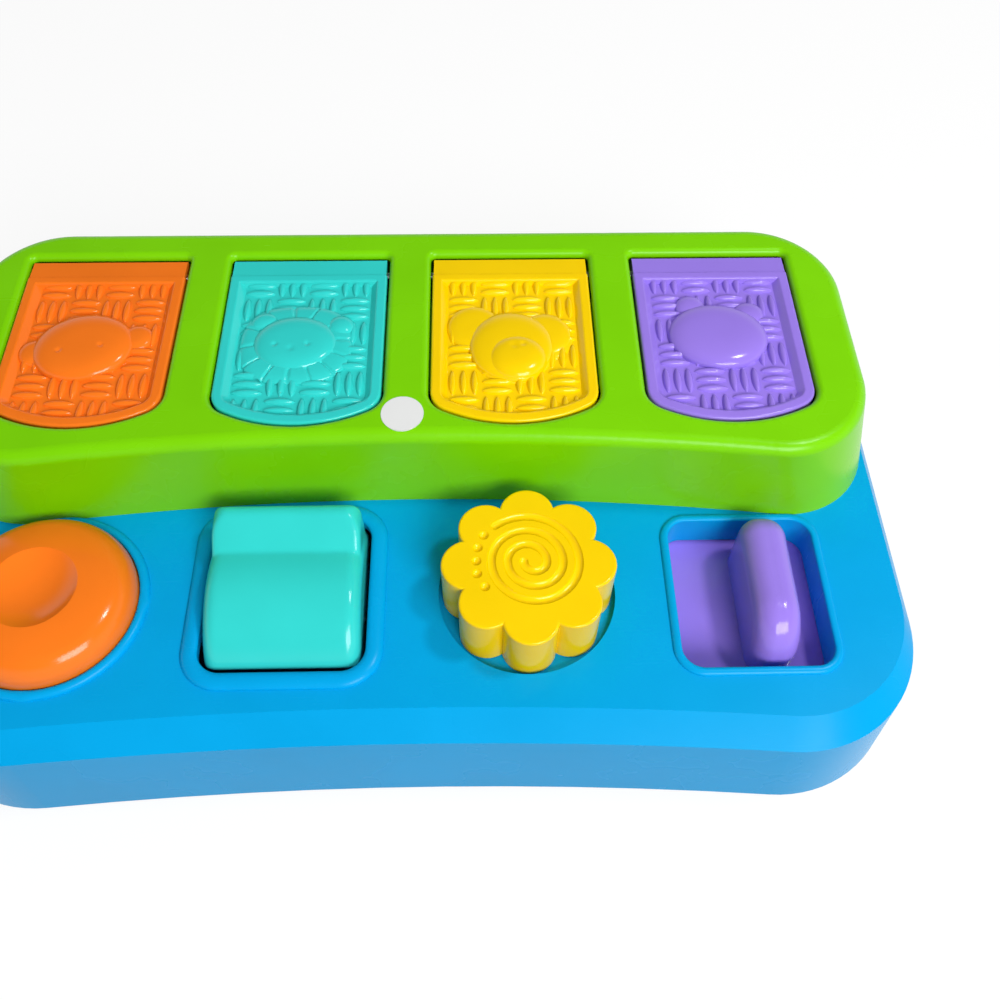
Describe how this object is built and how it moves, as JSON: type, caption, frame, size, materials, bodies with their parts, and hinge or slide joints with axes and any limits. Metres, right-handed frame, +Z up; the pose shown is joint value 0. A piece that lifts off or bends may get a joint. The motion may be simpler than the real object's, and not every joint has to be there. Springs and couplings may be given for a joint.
{
  "type": "pop up animal toy",
  "caption": "Plastic toy with a push button, rocker, turning flower and slider in front, each opening a hinged lid behind with an animal under it.",
  "frame": {"origin": "on the resting plane, under the middle of the base's outline", "axes": "+X to the right along the row of lids, +Y towards the lids at the back, +Z up"},
  "size_m": [0.33, 0.189, 0.077],
  "materials": {
    "deck_blue": "smooth injection moulded, semi-gloss",
    "cover_blue": "fine sparked texture",
    "housing_green": "smooth injection moulded, glossy",
    "orange_plastic": "smooth injection moulded, glossy",
    "teal_plastic": "smooth injection moulded, glossy",
    "yellow_plastic": "smooth injection moulded, glossy",
    "purple_plastic": "smooth injection moulded, glossy",
    "latch_white": "plain acetal, slightly waxy",
    "spring_steel": "drawn spring wire, zinc plated",
    "pin_steel": "ground and plated",
    "screw_steel": "zinc plated",
    "disc_white": "smooth printed disc, blank"
  },
  "bodies": {
    "base": {"base_shell": "deck_blue", "bottom_cover": "cover_blue", "upper_housing": "housing_green", "orange_hinge_pin": "pin_steel", "orange_lid_spring": "spring_steel", "orange_latch_spring": "spring_steel", "teal_hinge_pin": "pin_steel", "teal_lid_spring": "spring_steel", "teal_latch_spring": "spring_steel", "yellow_hinge_pin": "pin_steel", "yellow_lid_spring": "spring_steel", "yellow_latch_spring": "spring_steel", "purple_hinge_pin": "pin_steel", "purple_lid_spring": "spring_steel", "purple_latch_spring": "spring_steel", "slider_retainer": "latch_white", "button_spring": "spring_steel", "rocker_axle": "pin_steel", "white_disc": "disc_white", "cover_screws": "screw_steel", "housing_screws": "screw_steel", "retainer_screws": "screw_steel", "latch_keepers": "latch_white", "keeper_screws": "screw_steel"},
    "orange_lid_body": {"orange_lid": "orange_plastic", "orange_animal": "orange_plastic"},
    "orange_latch_body": {"orange_latch": "latch_white"},
    "teal_lid_body": {"teal_lid": "teal_plastic", "teal_animal": "teal_plastic"},
    "teal_latch_body": {"teal_latch": "latch_white"},
    "yellow_lid_body": {"yellow_lid": "yellow_plastic", "yellow_animal": "yellow_plastic"},
    "yellow_latch_body": {"yellow_latch": "latch_white"},
    "purple_lid_body": {"purple_lid": "purple_plastic", "purple_animal": "purple_plastic"},
    "purple_latch_body": {"purple_latch": "latch_white"},
    "button_body": {"push_button": "orange_plastic"},
    "rocker_body": {"rocker": "teal_plastic"},
    "knob_body": {"flower_knob": "yellow_plastic", "knob_crank": "latch_white", "knob_screw": "screw_steel"},
    "slider_body": {"slider_handle": "purple_plastic"}
  },
  "joints": [
    {"name": "orange_lid_hinge", "type": "hinge", "parent": "base", "child": "orange_lid_body", "pos_m": [-0.10575, 0.0716, 0.0706], "axis": [-1, 0, 0], "range_deg": [0, 92]},
    {"name": "orange_latch_slide", "type": "slide", "parent": "base", "child": "orange_latch_body", "axis": [0, 1, 0], "range_m": [0, 0.003], "stiffness_N_per_m": 300, "springref_m": -0.004, "deforming": ["orange_latch_spring"]},
    {"name": "teal_lid_hinge", "type": "hinge", "parent": "base", "child": "teal_lid_body", "pos_m": [-0.03525, 0.0716, 0.0706], "axis": [-1, 0, 0], "range_deg": [0, 92]},
    {"name": "teal_latch_slide", "type": "slide", "parent": "base", "child": "teal_latch_body", "axis": [0, 1, 0], "range_m": [0, 0.003], "stiffness_N_per_m": 300, "springref_m": -0.004, "deforming": ["teal_latch_spring"]},
    {"name": "yellow_lid_hinge", "type": "hinge", "parent": "base", "child": "yellow_lid_body", "pos_m": [0.03525, 0.0716, 0.0706], "axis": [-1, 0, 0], "range_deg": [0, 92]},
    {"name": "yellow_latch_slide", "type": "slide", "parent": "base", "child": "yellow_latch_body", "axis": [0, 1, 0], "range_m": [0, 0.003], "stiffness_N_per_m": 300, "springref_m": -0.004, "deforming": ["yellow_latch_spring"]},
    {"name": "purple_lid_hinge", "type": "hinge", "parent": "base", "child": "purple_lid_body", "pos_m": [0.10575, 0.0716, 0.0706], "axis": [-1, 0, 0], "range_deg": [0, 92]},
    {"name": "purple_latch_slide", "type": "slide", "parent": "base", "child": "purple_latch_body", "axis": [0, 1, 0], "range_m": [0, 0.003], "stiffness_N_per_m": 300, "springref_m": -0.004, "deforming": ["purple_latch_spring"]},
    {"name": "button_press", "type": "slide", "parent": "base", "child": "button_body", "axis": [0, 0, -1], "range_m": [0, 0.006], "stiffness_N_per_m": 250, "springref_m": -0.004, "deforming": ["button_spring"]},
    {"name": "rocker_tilt", "type": "hinge", "parent": "base", "child": "rocker_body", "pos_m": [-0.03855, -0.03865, 0.02], "axis": [1, 0, 0], "range_deg": [0, 24]},
    {"name": "knob_turn", "type": "hinge", "parent": "base", "child": "knob_body", "pos_m": [0.0384, -0.0391, 0.02], "axis": [0, 0, -1], "range_deg": [0, 30]},
    {"name": "slider_slide", "type": "slide", "parent": "base", "child": "slider_body", "axis": [-1, 0, 0], "range_m": [0, 0.018]}
  ],
  "couplings": [
    {"joint": "orange_latch_slide", "follows": "button_press", "ratio": 0.5},
    {"joint": "teal_latch_slide", "follows": "rocker_tilt", "m_per_rad": 0.0071619},
    {"joint": "yellow_latch_slide", "follows": "knob_turn", "m_per_rad": 0.0057295},
    {"joint": "purple_latch_slide", "follows": "slider_slide", "ratio": 0.16667}
  ]
}
